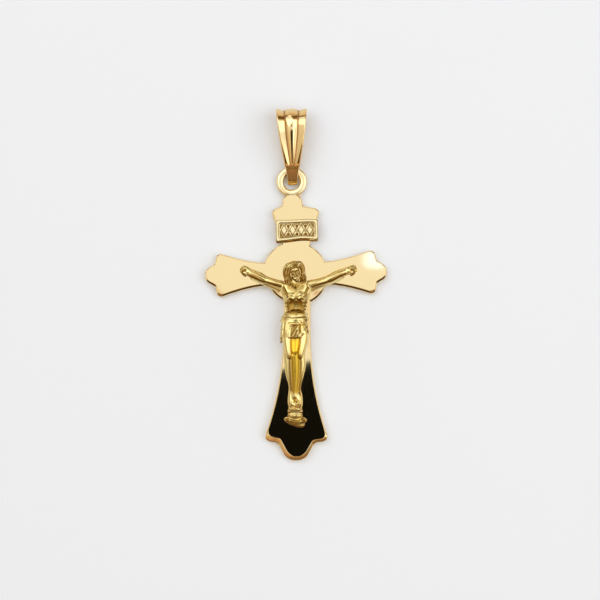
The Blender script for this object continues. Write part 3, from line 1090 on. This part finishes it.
def add_head():
    clay = Clay(*HEAD_BOX, HEAD_STEP)

    def sized(shape):
        return [tuple(FACE_SIZE * v for v in row) for row in shape]

    def balls(table):
        return [ball(*sized([*on_side([centre], side), radii]))
                for centre, radii, sides in table for side in sides]

    for shape in balls(SKULL):
        clay.add(shape, SKULL_BLEND)
    for shape in balls(SOCKETS):
        clay.cut(shape, SOCKET_BLEND)
    for shape in balls(LIDS):
        clay.add(shape, LID_BLEND)
    clay.add_limbs([(sized(on_side(rows, side)), blend) for rows, blend, sides in FACE for side in sides])
    clay.cut(limb(sized(MOUTH)), MOUTH_BLEND)
    clay.add_limbs([(sized(tuft_rows(*tuft)), TUFT_BLEND) for tuft in TUFTS])
    clay.add(ball(*SCALP), SCALP_BLEND)
    clay.add_limbs([(strand_rows(lock, side, k), STRAND_BLEND)
                    for side in (-1, 1) for lock in LOCKS for k in range(STRANDS)])
    for phase in (0, math.pi):
        clay.add(limb(wreath_rows(phase), 1), WREATH_BLEND)
    for thorn in THORNS:
        clay.add(limb(thorn_rows(*thorn), 1), THORN_BLEND)
    vertices, faces, hollow = skin(clay)
    vertices = vertices @ head_matrix().T + HEAD_AT
    vertices[:, 2] = np.maximum(vertices[:, 2], 0)
    make_piece("cast_head", vertices + (0, 0, SEAT_Z), faces, CAST, "corpus",
               {"hollow": np.minimum(hollow, 0) - HEAD_TARNISH})


add_head()


# The setting: a pale floor and soft studio light

FLOOR_HALF, FLOOR_COLOUR, FLOOR_ROUGHNESS = 600.0, (0.92, 0.96, 1.0), 0.8


def add_floor():
    mesh = bpy.data.meshes.new("floor")
    h = FLOOR_HALF * MM
    mesh.from_pydata([(-h, -h, 0), (h, -h, 0), (h, h, 0), (-h, h, 0)], [], [(0, 1, 2, 3)])
    material = bpy.data.materials.new("pale_floor")
    material.use_nodes = True
    pale = material.node_tree.nodes["Principled BSDF"]
    pale.inputs["Base Color"].default_value = (*FLOOR_COLOUR, 1)
    pale.inputs["Roughness"].default_value = FLOOR_ROUGHNESS
    mesh.materials.append(material)
    floor = bpy.data.objects.new("floor", mesh)
    bpy.context.collection.objects.link(floor)


add_floor()


# Square lights that face the middle of the pendant: where they hang, side and power
LIGHTS = (("soft_key", (-200, 280, 520), 600, 1.3), ("soft_fill", (360, -20, 460), 520, 1.0))
LIGHT_COLOUR = (0.77, 0.87, 1.0)


def add_light(name, at, side, power):
    data = bpy.data.lights.new(name, "AREA")
    data.size = side * MM
    data.energy = power
    data.color = LIGHT_COLOUR
    light = bpy.data.objects.new(name, data)
    light.location = Vector(at) * MM
    light.rotation_euler = Vector(at).to_track_quat("Z", "Y").to_euler()
    bpy.context.collection.objects.link(light)


for light in LIGHTS:
    add_light(*light)


# The sky by height, from the horizon (0) to the zenith (1): a bright top, a brown belt
# and a pale horizon, but in the south coppery half way up and brown low down
HEIGHTS = ((0.0, (0.88, 0.78, 0.66)), (0.2, (0.85, 0.73, 0.58)), (0.4, (0.58, 0.46, 0.32)),
           (0.58, (0.58, 0.47, 0.33)), (0.74, (0.82, 0.75, 0.62)), (0.88, (1.05, 1.06, 1.08)),
           (0.985, (1.1, 1.14, 1.2)), (0.994, (1.03, 1.03, 1.03)))
SOUTH_HEIGHTS = ((0.0, (0.05, 0.03, 0.015)), (0.17, (0.07, 0.045, 0.025)), (0.3, (0.29, 0.18, 0.1)),
                 (0.44, (0.3, 0.18, 0.1)), (0.51, (0.54, 0.29, 0.15)), (0.72, (0.76, 0.54, 0.31)),
                 (0.84, (0.95, 0.84, 0.62)), (0.93, (1.0, 0.98, 0.94)), (1.0, (1.03, 1.03, 1.03)))
# How far a direction must turn south for the south's colours to begin and to be full
SOUTH_FADE = (0.4, 0.66)
HORIZON_FADE = (0, 0.01)
# Soft patches that the polished gold mirrors: where (x and y of their direction), how wide
# and how long, how they slant, how soft their edge is, and the colour they multiply by
PATCHES = (
    ((0.0, -0.0755), (0.1, 0.051), 0.3, 0.08, (0.006, 0.006, 0.005)),
    ((0.0031, -0.006), (0.0011, 0.015), 0.0, 0.5, (0.86, 0.7, 0.52)),
    ((-0.0097, 0.004), (0.0018, 0.0011), -0.4, 0.6, (0.6, 0.32, 0.1)),
    ((0.0067, 0.0032), (0.0016, 0.0009), 0.3, 0.6, (0.6, 0.32, 0.1)),
    ((0.0, -0.46), (0.26, 0.22), 0.0, 0.4, (0.05, 0.03, 0.015)),
    ((0.55, -0.34), (0.12, 0.17), 0.0, 0.5, (0.1, 0.07, 0.04)),
    ((0.0, 0.62), (0.9, 0.19), 0.0, 0.5, (0.3, 0.2, 0.11)),
    ((0.0315, 0.0165), (0.0076, 0.005), 0.0, 0.9, (1.4, 1.65, 2.3)),
    ((-0.035, 0.003), (0.005, 0.0035), -0.4, 0.9, (0.75, 0.55, 0.36)),
)


def add_sky():
    """A soft tent of light, bright to the north and overhead, dark and coppery to the south."""
    world = bpy.data.worlds.new("studio")
    bpy.context.scene.world = world
    world.use_nodes = True
    tree = world.node_tree
    place = tree.nodes.new("ShaderNodeTexCoord").outputs["Generated"]
    split = tree.nodes.new("ShaderNodeSeparateXYZ")
    tree.links.new(place, split.inputs["Vector"])
    height = split.outputs["Z"]

    def ramp(stops):
        node = tree.nodes.new("ShaderNodeValToRGB")
        elements = node.color_ramp.elements
        while len(elements) < len(stops):
            elements.new(0.5)
        for element, (at, colour) in zip(elements, stops):
            element.position = at
            element.color = (*colour, 1)
        tree.links.new(height, node.inputs["Fac"])
        return node.outputs["Color"]

    def vector(operation, a, b=None):
        """A step of vector sums, on an output and on plain numbers or another output."""
        node = tree.nodes.new("ShaderNodeVectorMath")
        node.operation = operation
        tree.links.new(a, node.inputs[0])
        if isinstance(b, tuple):
            node.inputs[1].default_value = b
        elif b is not None:
            tree.links.new(b, node.inputs[1])
        return node.outputs["Value" if operation in ("DOT_PRODUCT", "LENGTH") else "Vector"]

    def product(a, b):
        node = tree.nodes.new("ShaderNodeMath")
        node.operation = "MULTIPLY"
        tree.links.new(a, node.inputs[0])
        tree.links.new(b, node.inputs[1])
        return node.outputs["Value"]

    azimuth = vector("NORMALIZE", vector("MULTIPLY", place, (1, 1, 0)))
    south = ranged(tree, vector("DOT_PRODUCT", azimuth, (0, -1, 0)), *SOUTH_FADE, kind="SMOOTHSTEP")
    sky = mixed(tree, south, ramp(HEIGHTS), ramp(SOUTH_HEIGHTS))
    above = ranged(tree, height, *HORIZON_FADE, kind="SMOOTHSTEP")
    for (x, y), (half_x, half_y), slant, softness, colour in PATCHES:
        away = vector("SUBTRACT", place, (x, y, 0))
        both = tree.nodes.new("ShaderNodeCombineXYZ")
        tree.links.new(vector("DOT_PRODUCT", away, (1 / half_x, 0, 0)), both.inputs["X"])
        tree.links.new(vector("DOT_PRODUCT", away, (-slant / half_y, 1 / half_y, 0)), both.inputs["Y"])
        squares = vector("MULTIPLY", both.outputs["Vector"], both.outputs["Vector"])
        inside = ranged(tree, vector("LENGTH", squares), 1, 1 - softness, kind="SMOOTHSTEP")
        sky = mixed(tree, product(inside, above), sky, colour, "MULTIPLY")
    tree.links.new(sky, tree.nodes["Background"].inputs["Color"])


add_sky()
bpy.context.scene.view_settings.view_transform = "Standard"
